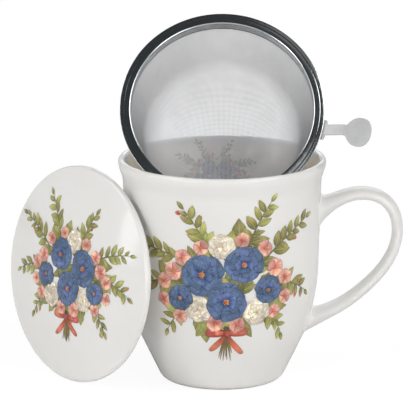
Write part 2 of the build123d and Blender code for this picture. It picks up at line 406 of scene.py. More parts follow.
def rootPoints(turn, end):
    # one line of the skin from the body's surface out to the plain strap, and the share where it ends
    inside, outside = end, 0.5
    for _ in range(strap["halvings"]):
        halfway = (inside + outside) / 2
        if outsideBody(strapPoint(halfway, turn)) < 0:
            inside = halfway
        else:
            outside = halfway
    corner = strapPoint(outside, turn)
    rounding = strap["rounding"]
    plain = outside + (rounding / strapLength if end < 0.5 else -rounding / strapLength)
    leave = strapPoint(plain, turn)
    away = corner - strapLine(outside)[0]
    slope = (readOff(mugOutside, corner.z + mm) - readOff(mugOutside, corner.z - mm)) / (2 * mm)
    skinNormal = (outwards(corner) - Vector((0, 0, slope))).normalized()
    away = (away - skinNormal * away.dot(skinNormal)).normalized()
    land = corner + away * rounding
    flat = outwards(land) * (readOff(mugOutside, land.z) - strap["sink"])
    land = Vector((flat.x, flat.y, land.z))
    return [land * (1 - t) ** 2 + corner * 2 * t * (1 - t) + leave * t ** 2
            for t in shares(strap["roundingSteps"])], plain


def strapRings():
    turns = [math.tau * i / strap["around"] for i in range(strap["around"])]
    upper = [rootPoints(turn, 0.0) for turn in turns]
    lower = [rootPoints(turn, 1.0) for turn in turns]
    steps = range(strap["roundingSteps"] + 1)
    rings = [[points[i] for points, _ in upper] for i in steps]
    for t in shares(strap["lengthwise"], 1)[:-1]:
        rings.append([strapPoint(first + (last - first) * t, turn)
                      for turn, (_, first), (_, last) in zip(turns, upper, lower)])
    rings += [[points[i] for points, _ in lower] for i in reversed(steps)]
    for ring, at in ((rings[0], 0), (rings[-1], len(rings) + 1)):
        rings.insert(at, [point - outwards(point) * strap["bury"] for point in ring])
    return rings


def makeStrap():
    rings = strapRings()
    bm = bmesh.new()
    order = bmesh.ops.create_circle(bm, cap_ends=False, segments=strap["around"], radius=mm)["verts"]
    for vert, spot in zip(order, rings[0]):
        vert.co = spot
    bmesh.ops.contextual_create(bm, geom=order)
    edges = list(bm.edges)
    for ring in rings[1:]:
        made = bmesh.ops.extrude_edge_only(bm, edges=edges)["geom"]
        fresh = {vert for vert in made if isinstance(vert, bmesh.types.BMVert)}
        edges = [edge for edge in made if isinstance(edge, bmesh.types.BMEdge)]
        order = [next(edge.other_vert(vert) for edge in vert.link_edges if edge.other_vert(vert) in fresh)
                 for vert in order]
        for vert, spot in zip(order, ring):
            vert.co = spot
    bmesh.ops.contextual_create(bm, geom=order)
    bmesh.ops.recalc_face_normals(bm, faces=bm.faces)
    return finishMesh("handleStrap", bm, handleGlaze, "mug")


handleStrap = makeStrap()
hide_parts("mug_handle")
print("handle drawn")


# polished and satin steel

steel = {
    "polish": ((0.35, (0.66, 0.67, 0.68)), (0.7, (0.50, 0.52, 0.54))),
    "polishGloss": (0.07, 0.2),  # roughness, from and to
    "lineScale": 5200.0,  # turning lines round the ring
    "lineShare": 0.12,
    "stainScale": 85.0,
    "stainStrength": 0.5,
    "stainDepth": 0.12 * mm,
    "satin": ((0.3, (0.62, 0.62, 0.615)), (0.7, (0.53, 0.53, 0.525))),
    "satinGloss": (0.58, 0.7),
    "grainScale": 2600.0,
    "grainStrength": 0.25,
    "grainDepth": 0.04 * mm,
    "hazeScale": 140.0,
}


def intoStrainer(tree, place):
    # object coordinates turned so that Z runs along the strainer's axis
    moved = vectorCalc(tree, "SUBTRACT", place, ringCentre)[0]
    return addNode(tree, "ShaderNodeVectorRotate", {
        "Vector": moved, "Angle": strainer["tilt"] - math.pi / 2}, rotation_type="X_AXIS").outputs[0]


def polishedSteel(name):
    material, tree, shader = newMaterial(name, Metallic=1.0)
    place = intoStrainer(tree, objectPlace(tree))
    split = splitUp(tree, place)
    squares = calc(tree, "ADD", calc(tree, "POWER", split["X"], 2.0), calc(tree, "POWER", split["Y"], 2.0))
    turned = addNode(tree, "ShaderNodeCombineXYZ", {"X": calc(tree, "POWER", squares, 0.5), "Z": split["Z"]})
    lines = noise(tree, turned.outputs[0], steel["lineScale"], 3.0)
    stains = noise(tree, place, steel["stainScale"], 5.0, 0.6)
    colour = ramp(tree, stains, *steel["polish"])
    height = calc(tree, "ADD", calc(tree, "MULTIPLY", lines, steel["lineShare"]), stains)
    wire(tree, shader, colour, remap(tree, stains, (0.3, 0.75), steel["polishGloss"]),
         bump(tree, height, steel["stainStrength"], steel["stainDepth"]))
    return material


def satinSteel(name):
    material, tree, shader = newMaterial(name, Metallic=0.7)
    place = objectPlace(tree)
    grain = noise(tree, place, steel["grainScale"], 4.0)
    haze = noise(tree, place, steel["hazeScale"], 3.0)
    colour = ramp(tree, haze, *steel["satin"])
    wire(tree, shader, colour, remap(tree, haze, (0.0, 1.0), steel["satinGloss"]),
         bump(tree, grain, steel["grainStrength"], steel["grainDepth"]))
    return material


rimSteel = polishedSteel("rimSteel")
tabSteel = satinSteel("tabSteel")
recoat("infuser_rim", rimSteel)
recoat("crimp_band", rimSteel)
recoat("infuser_tab", tabSteel)
print("steel polished")


# strainer ring: one pressed sheet, its outer edge rolled under and its inner edge turned down into a collar

ring = {  # mm
    "outer": 46.22,
    "collar": 41.22,
    "collarDepth": 6.0,
    "sheet": 0.45,
    "face": 0.25,  # height of the flange's face over the ring's plane
    "crown": 0.14,  # fall of the flange's face from its inner to its outer edge
    "corner": 0.2,  # the shoulder turns down over this radius into the roll's side
    "rollRadius": 0.42,
    "rollFoot": -1.04,
    "shoulder": 1.85,  # width of the band outside the crease
    "shoulderFall": 0.19,
    "crease": (0.06, 0.022),  # width and depth
    "creaseEnd": (0.14, 0.01),
    "innerRounding": 0.72,
    "grooves": (1.5, 2.7, 3.9),
    "grooveWidth": 0.5,
    "grooveDepth": 0.2,
    "around": 288,
}


def ringProfile():
    # (radius, height) in mm, from the foot of the collar up its inside, over the flange and back underneath
    inner, face, roll = ring["collar"], ring["face"], ring["rollRadius"]
    points = [(inner, -ring["collarDepth"])]
    for groove in reversed(ring["grooves"]):
        low, width = -groove - ring["grooveWidth"] / 2, ring["grooveWidth"]
        points += [(inner + ring["grooveDepth"] * math.sin(math.pi * share), low + width * share)
                   for share in shares(6)]
    bend = ring["innerRounding"]
    for angle in map(math.radians, range(0, 91, 15)):
        points.append((inner + bend * (1 - math.cos(angle)), face - bend + bend * math.sin(angle)))
    start, corner = inner + bend, ring["corner"]
    crease = ring["outer"] - corner - ring["shoulder"]
    points += [(start + (crease - start) * share, face - ring["crown"] * share ** 2)
               for share in shares(10, 1)]
    lowFace = face - ring["crown"]
    for width, depth in (ring["crease"], ring["creaseEnd"]):
        points.append((crease + width, lowFace - depth))
    start, fall = ring["creaseEnd"][0], ring["shoulderFall"]
    points += [(crease + start + (ring["shoulder"] - start) * share, lowFace - fall * share ** 1.5)
               for share in shares(8, 1)]
    turned = ((corner, lowFace - fall - corner, range(60, -1, -15)),
              (roll, ring["rollFoot"] + roll, range(0, -196, -15)))
    for size, height, angles in turned:
        for angle in map(math.radians, angles):
            points.append((ring["outer"] - size + size * math.cos(angle), height + size * math.sin(angle)))
    points.append((inner + ring["sheet"] + bend, face - ring["sheet"]))
    points.append((inner + ring["sheet"], face - ring["sheet"] - bend))
    points.append((inner + ring["sheet"], -ring["collarDepth"]))
    return points


def spinUp(bm, profile, edges, around):
    # a full turn of a profile about Z, its seam and poles closed
    bmesh.ops.spin(bm, geom=profile + edges, cent=(0, 0, 0), axis=(0, 0, 1), dvec=(0, 0, 0),
                   angle=math.tau, steps=around, use_merge=True)
    bmesh.ops.remove_doubles(bm, verts=bm.verts, dist=0.001 * mm)


def makeRing():
    bm = bmesh.new()
    profile = [bm.verts.new((radius * mm, 0, height * mm)) for radius, height in ringProfile()]
    edges = [bm.edges.new(pair) for pair in zip(profile, profile[1:] + profile[:1])]
    spinUp(bm, profile, edges, ring["around"])
    bmesh.ops.recalc_face_normals(bm, faces=bm.faces)
    bmesh.ops.transform(bm, matrix=strainerFrame, verts=bm.verts)
    return finishMesh("strainerRing", bm, rimSteel, "infuser")


strainerRing = makeRing()
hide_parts("infuser_rim")
print("ring rolled")


# finger tab: a stamped strip that steps down under the roll, rises outwards and spreads into its paddle

tab = {
    "heading": math.radians(-12.3),
    "line": (  # distance from the ring's centre and height of the upper face, mm
        (42.9, -0.25), (43.55, -0.25), (44.15, -1.05), (46.25, -1.05), (55.45, 4.176), (68.25, 5.52)),
    "sheet": 0.8 * mm,
    "rows": (  # share of the rows of faces, and the distance that they reach, mm
        (0.0, 42.9), (0.12, 46.9), (0.22, 47.6), (0.38, 55.0), (0.68, 63.0), (0.76, 65.0), (0.84, 66.5),
        (0.92, 67.6), (0.97, 68.05), (1.0, 68.25)),
    "neck": 2.475,  # half widths, mm
    "rootExtra": 2.175,
    "paddle": 6.85,
    "widest": 6.858,  # half width beyond the shoulders
    "rootEnd": (46.9, 0.6),  # where the root's corner starts, and its length, mm
    "shoulderEnd": (62.6, 6.2),  # where the shoulders end, and their length, mm
    "roundEnd": 5.65,  # length of the blunt round end, mm
    "shoulderCurve": (2.1, 0.62),  # powers
    "endCurve": (2.6, 0.46),
    "neckBlend": 5,
    "rootEase": 0.2,  # the line's corners are evened out over this, mm, up to easeChange, and then paddleEase
    "paddleEase": 1.3,
    "easeChange": 50,
    "across": 14,
    "along": 84,
    "edgeRounding": 0.16 * mm,
}


def roundOff(share, curve):
    inner, outer = curve
    return (1 - share ** inner) ** outer


def tabHalfWidth(along):
    # root, neck, shoulders and the blunt round end, mm
    rootEnd, rootLength = tab["rootEnd"]
    shoulderEnd, shoulderLength = tab["shoulderEnd"]
    neck, wide, blend = tab["neck"], tab["widest"], tab["neckBlend"]
    if along < rootEnd + rootLength:
        corner = between(0.0, (along - rootEnd) / rootLength, 1.0)
        return neck + tab["rootExtra"] * math.sqrt(1 - corner ** 2)
    if along < shoulderEnd:
        shoulder = between(0.0, (shoulderEnd - along) / shoulderLength, 1.0)
        paddle = tab["paddle"] * roundOff(shoulder, tab["shoulderCurve"])
        wide = (paddle ** blend + neck ** blend) ** (1 / blend)
    ending = between(0.0, (along - shoulderEnd) / tab["roundEnd"], 1.0)
    return wide * roundOff(ending, tab["endCurve"])


def tabHeight(along):
    reach = tab["rootEase"] if along < tab["easeChange"] else tab["paddleEase"]
    return sum(readOff(tab["line"], along + reach * step / 4) for step in range(-4, 5)) / 9


def makeTab():
    bm = bmesh.new()
    bmesh.ops.create_grid(bm, x_segments=tab["across"], y_segments=tab["along"], size=1)
    turn = tab["heading"]
    for vert in bm.verts:
        along = readOff(tab["rows"], (vert.co.y + 1) / 2)
        across = -vert.co.x * tabHalfWidth(along)
        vert.co = Vector((along * math.cos(turn) - across * math.sin(turn),
                          along * math.sin(turn) + across * math.cos(turn), tabHeight(along))) * mm
    bmesh.ops.remove_doubles(bm, verts=bm.verts, dist=0.01 * mm)
    bmesh.ops.transform(bm, matrix=strainerFrame, verts=bm.verts)
    piece = finishMesh("fingerTab", bm, tabSteel, "infuser")
    solidify(piece, tab["sheet"], -1.0)
    edge = piece.modifiers.new("edge", "BEVEL")
    edge.width = tab["edgeRounding"]
    edge.segments = 2
    return piece


fingerTab = makeTab()
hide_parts("infuser_tab")
print("tab stamped")


# woven basket: a thin drawn shell whose wires are cut out along its own UV map, in millimetres

basket = {
    "collarRadius": 41.84 * mm,
    "collarDepth": 6.0 * mm,
    "topDepth": 0.9 * mm,
    "bottomRadius": 37.14 * mm,
    "ballDepth": 22.5 * mm,
    "thickness": 0.05 * mm,
    "around": 192,
    "down": 40,
    "dents": 9,
    "dentDepth": 0.35 * mm,
    "dentShare": (0.4, 1.0),  # of that depth
    "dentSize": (0.10, 0.2),  # share of the bottom's radius
    "dentSlope": (0.35, 1.35),  # how far round the bottom the dents lie, radians
    "dentsBelow": 8 * mm,  # none above this depth, and full ones from a further dentFade on
    "dentFade": 12 * mm,
    "seed": 4,
}

weave = {
    "pitch": 0.6,  # mm
    "wire": 0.185,
    "grazing": (0.28, 0.85),  # seen edge on, the wires close up between these, and a painted shade turns them grey
    "closed": (0.0, 0.9),
    # painted shade grey of the wires seen edge on
    "grazingPaintedShade": (0.30, 0.30, 0.30),
    "tarnish": ((0.3, (0.92, 0.92, 0.935)), (0.7, (0.84, 0.84, 0.855))),
    "tarnishScale": 0.09,
    "gloss": (0.75, 0.9),  # roughness, from and to
    "roundness": 0.25,
    "roundDepth": 0.04 * mm,
}


def basketProfile():
    # (radius, height) from the pole of the round bottom up to the collar
    big, deep = basket["bottomRadius"], basket["ballDepth"]
    drop = deep - basket["collarDepth"]
    reach = math.hypot(basket["collarRadius"], drop)
    touch = math.atan2(drop, basket["collarRadius"]) - math.acos(big / reach)
    sweep = math.pi / 2 + touch
    points = []
    for step in range(basket["down"] + 1):
        angle = sweep * step / basket["down"] - math.pi / 2
        points.append((big * math.cos(angle), -deep + big * math.sin(angle)))
    lowRadius, lowHeight = points[-1]
    points += [(lowRadius + share * (basket["collarRadius"] - lowRadius),
                lowHeight + share * (-basket["collarDepth"] - lowHeight)) for share in shares(8, 1)]
    points.append((basket["collarRadius"], -basket["topDepth"]))
    return points


def wovenSteel(name):
    material, tree, shader = newMaterial(name, Metallic=0.65)
    woven = addNode(tree, "ShaderNodeUVMap", uv_map="weave").outputs["UV"]
    split = splitUp(tree, woven)
    across, along = (calc(tree, "PINGPONG", calc(tree, "DIVIDE", split[axis], weave["pitch"]), 0.5)
                     for axis in "XY")
    facing = addNode(tree, "ShaderNodeLayerWeight").outputs["Facing"]
    closed = remap(tree, facing, weave["grazing"], weave["closed"])
    thin = weave["wire"] / weave["pitch"] / 2
    half = calc(tree, "MULTIPLY_ADD", closed, thin, thin)
    hole = calc(tree, "MULTIPLY", *(calc(tree, "GREATER_THAN", way, half) for way in (across, along)))
    tree.links.new(calc(tree, "SUBTRACT", 1.0, hole), shader.inputs["Alpha"])
    checks = addNode(tree, "ShaderNodeTexChecker", {"Vector": woven, "Scale": 1 / weave["pitch"]})
    wires = [calc(tree, "SUBTRACT", 1.0, calc(tree, "POWER", calc(tree, "DIVIDE", way, half), 2.0))
             for way in (across, along)]
    skin = bump(tree, mixValue(tree, checks.outputs["Fac"], *wires), weave["roundness"], weave["roundDepth"])
    tarnish = noise(tree, woven, weave["tarnishScale"], 4.0)
    colour = ramp(tree, tarnish, *weave["tarnish"])
    # wires seen edge on are mixed towards a painted shade grey, standing in for their shading of one another
    wire(tree, shader, mixColour(tree, closed, colour, weave["grazingPaintedShade"]),
         remap(tree, tarnish, (0.0, 1.0), weave["gloss"]), skin)
    return material


def pickDents():
    # (direction, size, depth as a share of the deepest) of the small dents of use
    rng = random.Random(basket["seed"])
    dents = []
    for _ in range(basket["dents"]):
        turn, slope = rng.uniform(0, math.tau), rng.uniform(*basket["dentSlope"])
        way = Vector((math.sin(slope) * math.cos(turn), math.sin(slope) * math.sin(turn), -math.cos(slope)))
        size, sense = rng.uniform(*basket["dentSize"]), rng.choice((-1, -1, 1))
        dents.append((way, size, sense * rng.uniform(*basket["dentShare"])))
    return dents


def layWeave(bm):
    # the weave's UV map: lengths along the wall from the pole, in mm
    uvLayer = bm.loops.layers.uv.new("weave")
    for face in bm.faces:
        for loop in face.loops:
            spot = loop.vert.co
            flat = Vector((spot.x, spot.y, 0))
            length = basket["bottomRadius"] * math.atan2(flat.length, -(spot.z + basket["ballDepth"])) / mm
            way = flat.normalized() if flat.length > 0.01 * mm else Vector((0, 0, 0))
            loop[uvLayer].uv = (way.x * length, way.y * length)


def makeBasket():
    bm = bmesh.new()
    profile = [bm.verts.new((radius, 0, height)) for radius, height in basketProfile()]
    spinUp(bm, profile, [bm.edges.new(pair) for pair in zip(profile, profile[1:])], basket["around"])
    layWeave(bm)
    dents = pickDents()
    ballCentre = Vector((0, 0, -basket["ballDepth"]))
    for vert in bm.verts:
        way = (vert.co - ballCentre).normalized()
        push = sum(depth * math.exp(-((way - spot).length / size) ** 2) for spot, size, depth in dents)
        fade = between(0, (-vert.co.z - basket["dentsBelow"]) / basket["dentFade"], 1)
        vert.co += way * push * basket["dentDepth"] * fade
    bmesh.ops.recalc_face_normals(bm, faces=bm.faces)
    bmesh.ops.transform(bm, matrix=strainerFrame, verts=bm.verts)
    piece = finishMesh("basketWeave", bm, wovenSteel("wovenSteel"), "infuser")
    solidify(piece, basket["thickness"], 1.0)
    return piece


basketWeave = makeBasket()
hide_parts("infuser_mesh")
print("basket woven")


# printed posies: petals, leaves and twigs are cut flat in millimetres, then wrapped on the glaze

posy = {
    "lift": 0.02,  # mm from the glaze up to the lowest shape
    "step": 0.006,  # mm between shapes that overlap
    "overlap": 0.85,  # shapes nearer than this share of their reaches lie one on the other
    "thickness": 0.04 * mm,
    "grain": 1.15,  # mm between the points of a shape
    "seed": 11,
    "lobeDepth": 0.26,
    "lobeCrowding": 1.3,  # powers of the share along a shape
    "notchSharpness": 6,
    "sprays": (  # start, heading in degrees, length, bend
        (-5, 12, 108, 27, 5), (8, 12, 74, 30, -6), (15, 9, 44, 33, -8), (-14, 9, 146, 31, 8),
        (-19, 3, 178, 25, 9), (19, 2, 6, 25, -9), (-16, -9, 212, 19, 5), (17, -10, -34, 19, -5),
    ),
    "sprayTurn": 5,  # degrees to one side or the other
    "sprayLength": (0.93, 1.07),
    "ringLeaves": 24,
    "ringReach": (23, 19),
    "outerLeaf": {"jitter": 0.35, "swing": 0.6, "length": (9.5, 14.5), "width": (0.56, 0.74), "bend": 1.6},
    "outerReach": (0.7, 0.98),  # shares of the ring's reach
    "innerLeaf": {"jitter": 0.4, "swing": 0.8, "length": (8.0, 11.0), "width": (0.5, 0.66), "bend": 1.4},
    "innerReach": 0.66,
    "fillLeaf": {"swing": math.pi, "length": (7.5, 10.0), "width": (0.5, 0.66), "bend": 1.2},
    "fillReach": (1.0, 13.0),
    "twigWidth": 0.8,
    # taper: a leaf's size where the twig starts, and how much of it is lost along the twig
    "twigLeaf": {"every": 3.4, "first": 0.3, "span": 0.64, "turn": (0.5, 1.05), "length": (6.0, 9.5),
                 "taper": (1.2, 0.6), "width": (0.4, 0.56), "bend": 1.2},
    "tipLeaf": {"at": 0.97, "size": (4.8, 2.2)},
    "bud": {"from": 0.45, "chance": 0.4, "stalk": (2.6, 4.4), "stalkWidth": 0.38, "at": 0.9, "turn": 0.3,
            "length": (2.2, 3.4), "width": (1.5, 2.2)},
    "petal": {"turn": 0.12, "length": (0.9, 1.05), "bend": 0.06},
    "heart": {"tint": 0.2, "turn": 0.2, "reach": (0.7, 1.25), "dot": 0.42},
    "blooms": {  # rings of petals (how many, share of the radius), their spread, the heart's share and dots
        "blossomPetal": {
            "rings": ((5, 1.0),), "spread": 1.12, "heart": 0.17, "dots": 5,
            "places": (
                (-24, 6.5, 4.2), (-29, 1.5, 3.6), (-19.5, 13.5, 3.8), (-29.5, -7, 3.3), (23.5, 8, 4.2),
                (29, 3, 3.6), (18, 17.5, 3.6), (29, -6, 3.3), (-5, -17, 4.0), (5.5, -17.5, 3.7),
                (23.5, -12.5, 3.5), (-21.5, -14, 3.5), (7.5, 22, 3.3), (-11, 18.5, 3.6)),
        },
        "rosePetal": {
            "rings": ((7, 1.0), (6, 0.8), (5, 0.58), (4, 0.36)), "spread": 1.5, "heart": 0, "dots": 0,
            "places": ((-1.5, 19, 6.2), (14.5, -12, 6.4), (-12.5, -10.5, 6.0)),
        },
        "bluetPetal": {
            "rings": ((9, 1.0), (8, 0.76), (6, 0.48)), "spread": 1.5, "heart": 0.13, "dots": 9,
            "places": ((-10.5, 6, 9.8), (8.5, 10.5, 8.8), (0.5, -6.5, 9.2), (20, -2, 6.6), (-21, -5.5, 6.3)),
        },
    },
    "tie": (0.5, -22),
    "stems": 9,
    "stemFan": 0.075,  # radians from one stem to the next
    "stemTurn": 0.03,
    "stemReach": (3.2, 3.5),
    "stemLength": (13.5, 18.0),
    "stemWidth": 1.15,
    "stemBend": 0.8,
    "ribbons": (  # heading in radians, length, width, bend
        (-1.05, 13.5, 3.0, 2.6), (-2.15, 12.0, 3.0, -2.4), (0.28, 10.5, 5.4, -1.6),
        (math.pi - 0.22, 10.0, 5.2, 1.6), (0.30, 6.0, 2.4, -0.8), (math.pi - 0.2, 5.6, 2.3, 0.8),
    ),
    "knot": (3.2, 3.0, 0.3),  # length, width, tint
}

cutShapes = {
    # how fast each shape widens from its heel, closes at its tip, how deep its tip is notched, and its lobes
    "twig": (0.08, 0.5, 0, 0),
    "leaf": (0.75, 0.95, 0, 0),
    "broadLeaf": (0.5, 0.9, 0, 3),
    "bluetPetal": (0.85, 0.36, 0.12, 0),
    "rosePetal": (0.6, 0.32, 0.05, 0),
    "blossomPetal": (0.8, 0.36, 0.14, 0),
    "ribbon": (0.55, 0.3, 0.1, 0),
    "bud": (0.5, 0.75, 0, 0),
    "heart": (0.5, 0.5, 0, 0),
}


class Cut:
    # one flat shape of a print: where it starts, its heading, and its length and width in millimetres
    def __init__(self, kind, x, y, heading, length, width, bend, tint):
        self.kind, self.start, self.heading = kind, Vector((x, y)), heading
        self.length, self.width, self.bend, self.tint = length, width, bend, tint
        self.middle = self.start + Vector((math.cos(heading), math.sin(heading))) * length / 2
        self.reach = math.hypot(length, width) / 2

    def at(self, side, along):
        ahead = Vector((math.cos(self.heading), math.sin(self.heading)))
        left = Vector((-ahead.y, ahead.x))
        begin, end, notch, lobes = cutShapes[self.kind]
        peak = begin / (begin + end)
        swell = (along / peak) ** begin * ((1 - along) / (1 - peak)) ** end
        lobe = abs(math.sin(math.pi * lobes * along ** posy["lobeCrowding"]))
        swell *= 1 - posy["lobeDepth"] * side * side * lobe
        drawn = along - notch * (1 - abs(side)) * along ** posy["notchSharpness"]
        return (self.start + ahead * self.length * drawn
                + left * (side * swell * self.width / 2 + self.bend * along ** 2))


def sway(rng, reach):
    return rng.uniform(-reach, reach)


def leaf(cuts, rng, kind, x, y, heading, habit):
    length = rng.uniform(*habit["length"])
    turn = heading + sway(rng, habit["swing"])
    width = length * rng.uniform(*habit["width"])
    cuts.append(Cut(kind, x, y, turn, length, width, sway(rng, habit["bend"]), rng.random()))


def flower(cuts, rng, kind, x, y, radius):
    # rings of petals round one middle, and a heart with dots on it
    bloom, habit = posy["blooms"][kind], posy["petal"]
    for petals, share in bloom["rings"]:
        start = rng.uniform(0, math.tau)
        for petal in rng.sample(range(petals), petals):
            heading = start + math.tau * petal / petals + sway(rng, habit["turn"])
            length = radius * share * rng.uniform(*habit["length"])
            cuts.append(Cut(kind, x, y, heading, length, bloom["spread"] * math.tau * length / petals,
                            sway(rng, habit["bend"]) * length, rng.random()))
    if bloom["heart"]:
        hearts(cuts, rng, x, y, radius * bloom["heart"], bloom["dots"])


def hearts(cuts, rng, x, y, radius, dots):
    habit = posy["heart"]
    cuts.append(Cut("heart", x - radius, y, 0, 2 * radius, 2 * radius, 0, habit["tint"]))
    for dot in range(dots):
        turn = math.tau * dot / dots + sway(rng, habit["turn"])
        reach, size = radius * rng.uniform(*habit["reach"]), radius * habit["dot"]
        cuts.append(Cut("heart", x + reach * math.cos(turn) - size / 2, y + reach * math.sin(turn), 0,
                        size, size, 0, 0.5 + 0.5 * rng.random()))


def spray(cuts, rng, x, y, heading, length, bend):
    # a bending twig with leaves to one side and the other, and buds towards its end
    twig = Cut("twig", x, y, heading, length, posy["twigWidth"], bend, rng.random())
    cuts.append(twig)
    habit, bud, tip = posy["twigLeaf"], posy["bud"], posy["tipLeaf"]
    heel, fall = habit["taper"]
    places = max(4, round(length / habit["every"]))
    for place in range(places):
        along = habit["first"] + habit["span"] * place / places
        side = 1 if place % 2 else -1
        turn = heading + 2 * bend * along / length + side * rng.uniform(*habit["turn"])
        spot = twig.at(0, along)
        if along > bud["from"] and rng.random() < bud["chance"]:
            stalk = Cut("twig", *spot, turn, rng.uniform(*bud["stalk"]), bud["stalkWidth"], 0, rng.random())
            cuts.append(stalk)
            budTurn = turn + sway(rng, bud["turn"])
            cuts.append(Cut("bud", *stalk.at(0, bud["at"]), budTurn, rng.uniform(*bud["length"]),
                            rng.uniform(*bud["width"]), 0, rng.random()))
        size = rng.uniform(*habit["length"]) * (heel - fall * along)
        cuts.append(Cut("leaf", *spot, turn, size, size * rng.uniform(*habit["width"]),
                        sway(rng, habit["bend"]), rng.random()))
    turn = heading + 2 * bend / length
    cuts.append(Cut("leaf", *twig.at(0, tip["at"]), turn, *tip["size"], 0, rng.random()))


def bow(cuts, rng, x, y):
    # cut stalks below the tie, and a ribbon with two loops and two ends
    spread, rise = posy["stemReach"]
    for stem in range(posy["stems"]):
        turn = posy["stemFan"] * (stem - (posy["stems"] - 1) / 2) - math.pi / 2 + sway(rng, posy["stemTurn"])
        cuts.append(Cut("twig", x - spread * math.cos(turn), y + rise, turn, rng.uniform(*posy["stemLength"]),
                        posy["stemWidth"], sway(rng, posy["stemBend"]), rng.random()))
    for turn, length, width, bend in posy["ribbons"]:
        cuts.append(Cut("ribbon", x, y, turn, length, width, bend, rng.random()))
    length, width, tint = posy["knot"]
    cuts.append(Cut("ribbon", x - length / 2, y, 0, length, width, 0, tint))


def ringPlace(rng, place, count, jitter):
    turn = math.tau * (place + sway(rng, jitter)) / count
    reachX, reachY = posy["ringReach"]
    return turn, reachX * math.cos(turn), reachY * math.sin(turn)


def greenery(cuts, rng):
    # a ring of broad leaves, sprays over it, a smaller ring, and leaves that fill the middle
    count = posy["ringLeaves"]
    for place in range(count):
        turn, x, y = ringPlace(rng, place, count, posy["outerLeaf"]["jitter"])
        share = rng.uniform(*posy["outerReach"])
        leaf(cuts, rng, "broadLeaf", x * share, y * share, turn, posy["outerLeaf"])
    for x, y, heading, length, bend in posy["sprays"]:
        heading = math.radians(heading + sway(rng, posy["sprayTurn"]))
        spray(cuts, rng, x, y, heading, length * rng.uniform(*posy["sprayLength"]), bend)
    share = posy["innerReach"]
    for place in range(count // 2):
        turn, x, y = ringPlace(rng, place, count // 2, posy["innerLeaf"]["jitter"])
        leaf(cuts, rng, "broadLeaf", x * share, y * share, turn, posy["innerLeaf"])
    for place in range(count):
        turn, reach = rng.uniform(0, math.tau), rng.uniform(*posy["fillReach"])
        kind = "broadLeaf" if place % 3 else "leaf"
        leaf(cuts, rng, kind, reach * math.cos(turn), reach * math.sin(turn), math.pi, posy["fillLeaf"])


def cutPosy(scale, mirror, seed):
    rng = random.Random(seed)
    cuts = []
    greenery(cuts, rng)
    bow(cuts, rng, *posy["tie"])
    for kind, bloom in posy["blooms"].items():
        for x, y, radius in bloom["places"]:
            flower(cuts, rng, kind, x, y, radius)
    for cut in cuts:
        if mirror:
            cut.start.x, cut.middle.x = -cut.start.x, -cut.middle.x
            cut.heading, cut.bend = math.pi - cut.heading, -cut.bend
        for measure in ("start", "middle", "length", "width", "bend", "reach"):
            setattr(cut, measure, getattr(cut, measure) * scale)
    return cuts


# inks under the glaze: shaded along each shape's own UV map, with drawn streaks and a darker edge

ink = {
    "tintValue": (0.5, 0.75),  # a shape's tint changes its value and hue: slope and start
    "tintHue": (0.03, 0.485),
    "tintShift": 40.0,
    "middleAt": 0.42,
    "strokesAcross": 9.0,
    "streakScale": 1.7,
    "streakRange": (0.3, 0.7),
    "streakShade": (0.66, 1.26),
    "washScale": 190.0,
    "washRange": (0.32, 0.68),
    "washShade": (0.74, 1.24),
    "ribWidth": 0.09,
    "veins": 6.0,  # along a leaf
    "veinSlant": -0.9,
    "veinWidth": 0.07,
    "veinDepth": 0.6,
    "edge": (0.72, 1.0),  # how near the edge its line starts and is full
    "edgeDepth": (0.0, 0.5),
    "tipEdge": (1.1, -0.14),
}


def printInk(name, heel, middle, tip, outline, veins=0.0):
    material, tree, shader = newMaterial(name, IOR=glaze["refraction"])
    split = splitUp(tree, addNode(tree, "ShaderNodeUVMap", uv_map="petal").outputs["UV"])
    across, along = split["X"], split["Y"]
    tint = addNode(tree, "ShaderNodeAttribute", attribute_name="tint").outputs["Fac"]
    side = calc(tree, "ABSOLUTE", calc(tree, "MULTIPLY_ADD", across, 2.0, -1.0))
    colour = ramp(tree, along, (0.0, heel), (ink["middleAt"], middle), (1.0, tip))
    strokes = addNode(tree, "ShaderNodeCombineXYZ", {
        "X": calc(tree, "MULTIPLY", across, ink["strokesAcross"]), "Y": along,
        "Z": calc(tree, "MULTIPLY", tint, ink["tintShift"])}).outputs[0]
    streaks = noise(tree, strokes, ink["streakScale"], 3.0)
    shade = remap(tree, streaks, ink["streakRange"], ink["streakShade"])
    place = objectPlace(tree)
    pooled = remap(tree, noise(tree, place, ink["washScale"], 3.0), ink["washRange"], ink["washShade"])
    value = calc(tree, "MULTIPLY", shade, calc(tree, "MULTIPLY_ADD", tint, *ink["tintValue"]))
    value = calc(tree, "MULTIPLY", value, pooled)
    hue = calc(tree, "MULTIPLY_ADD", tint, *ink["tintHue"])
    colour = addNode(tree, "ShaderNodeHueSaturation", {
        "Hue": hue, "Value": value, "Color": colour}).outputs["Color"]
    if veins:
        rib = calc(tree, "LESS_THAN", side, ink["ribWidth"])
        comb = calc(tree, "MULTIPLY_ADD", side, ink["veinSlant"], calc(tree, "MULTIPLY", along, ink["veins"]))
        vein = calc(tree, "LESS_THAN", calc(tree, "PINGPONG", comb, 0.5), ink["veinWidth"])
        lines = calc(tree, "MAXIMUM", rib, calc(tree, "MULTIPLY", vein, ink["veinDepth"]))
        colour = mixColour(tree, calc(tree, "MULTIPLY", lines, veins), colour, tip)
    border = calc(tree, "MAXIMUM", side, calc(tree, "MULTIPLY_ADD", along, *ink["tipEdge"]))
    drawn = remap(tree, border, ink["edge"], ink["edgeDepth"])
    wire(tree, shader, mixColour(tree, drawn, colour, outline), glazeGloss(tree, place, glaze["inkGloss"]),
         glazeSkin(tree, place))
    return material


